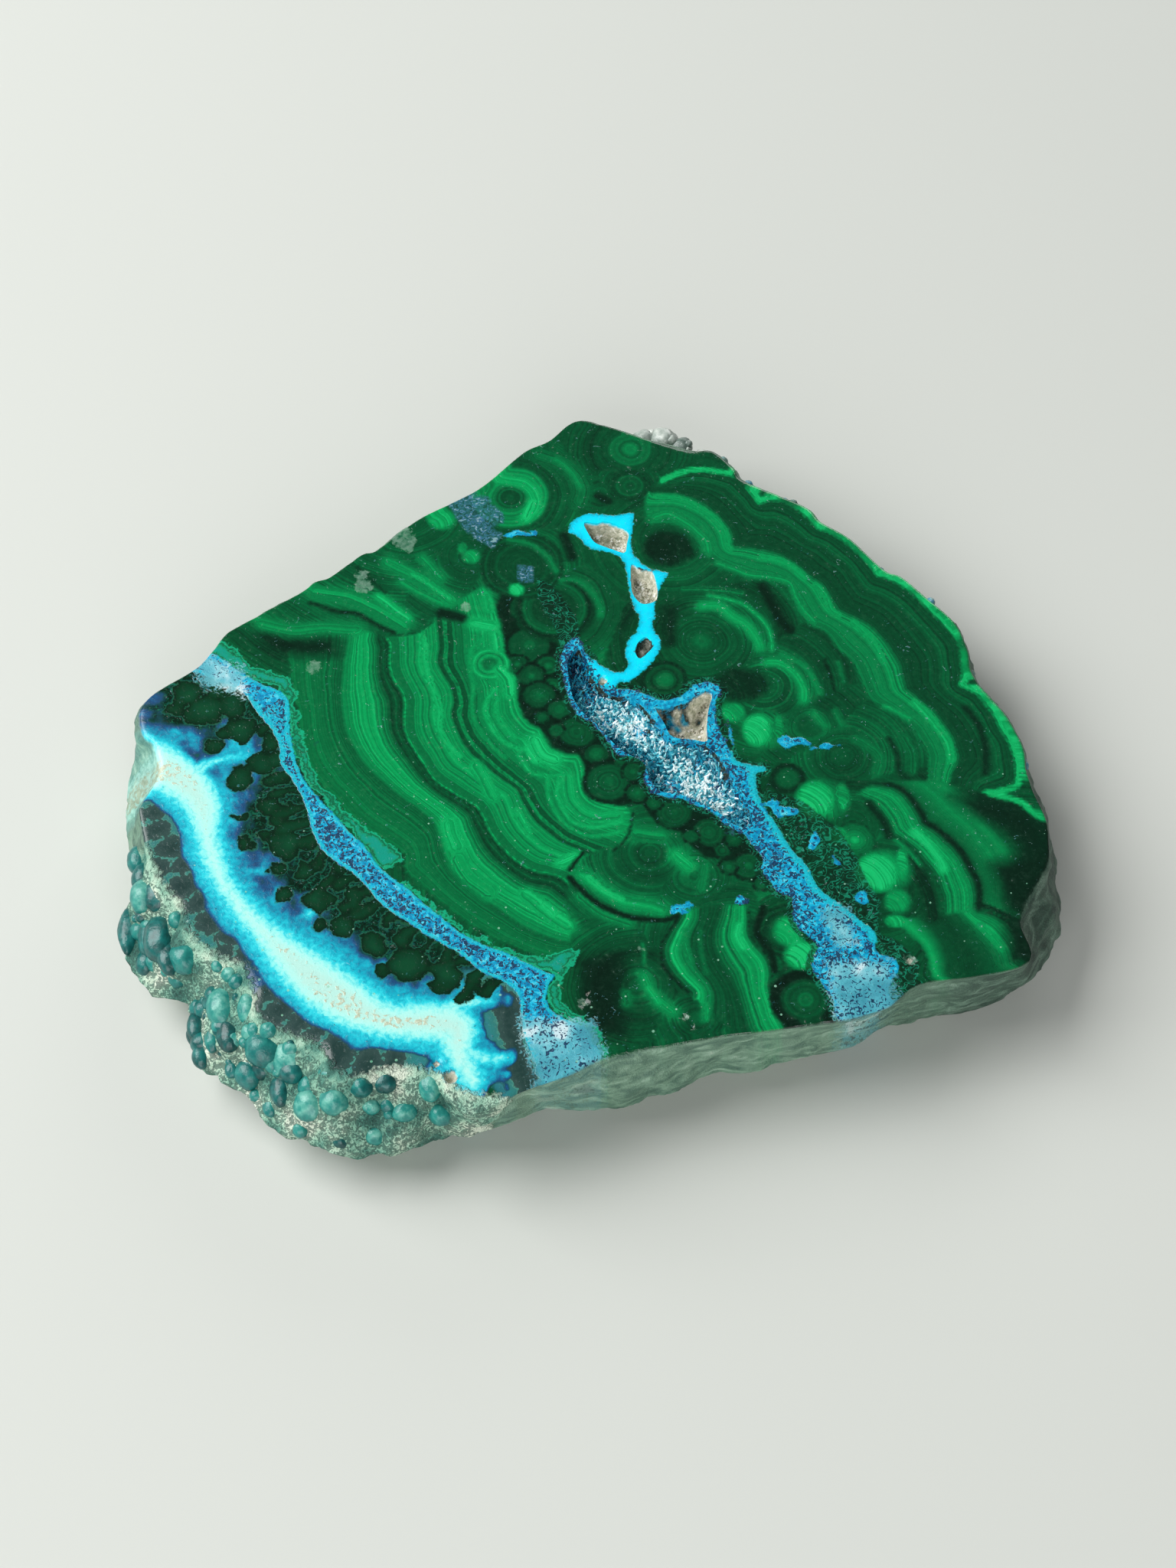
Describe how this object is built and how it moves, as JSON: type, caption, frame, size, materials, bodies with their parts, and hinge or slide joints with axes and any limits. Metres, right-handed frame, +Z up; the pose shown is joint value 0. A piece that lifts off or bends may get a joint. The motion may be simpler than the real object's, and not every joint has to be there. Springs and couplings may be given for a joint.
{
  "type": "polished malachite and azurite slab",
  "caption": "Flat slice of banded green stone with blue and white veins, a polished face, a rough natural rim, open hollows and a vug lined with a fine crystal crust.",
  "frame": {"origin": "middle of the stone's bounding box, on the surface that its sawn underside rests on", "axes": "+Z up, out of the polished face; +X along the stone's longest width, to the right in the picture; +Y away from the viewer"},
  "size_m": [0.0685, 0.0629, 0.008],
  "materials": {
    "banded_stone": "polished banded malachite with azurite and chrysocolla veins, rough rim",
    "druse": "sparkling fine crystals"
  },
  "bodies": {
    "root": {"slab": "banded_stone", "druse_crust": "druse"}
  },
  "joints": []
}
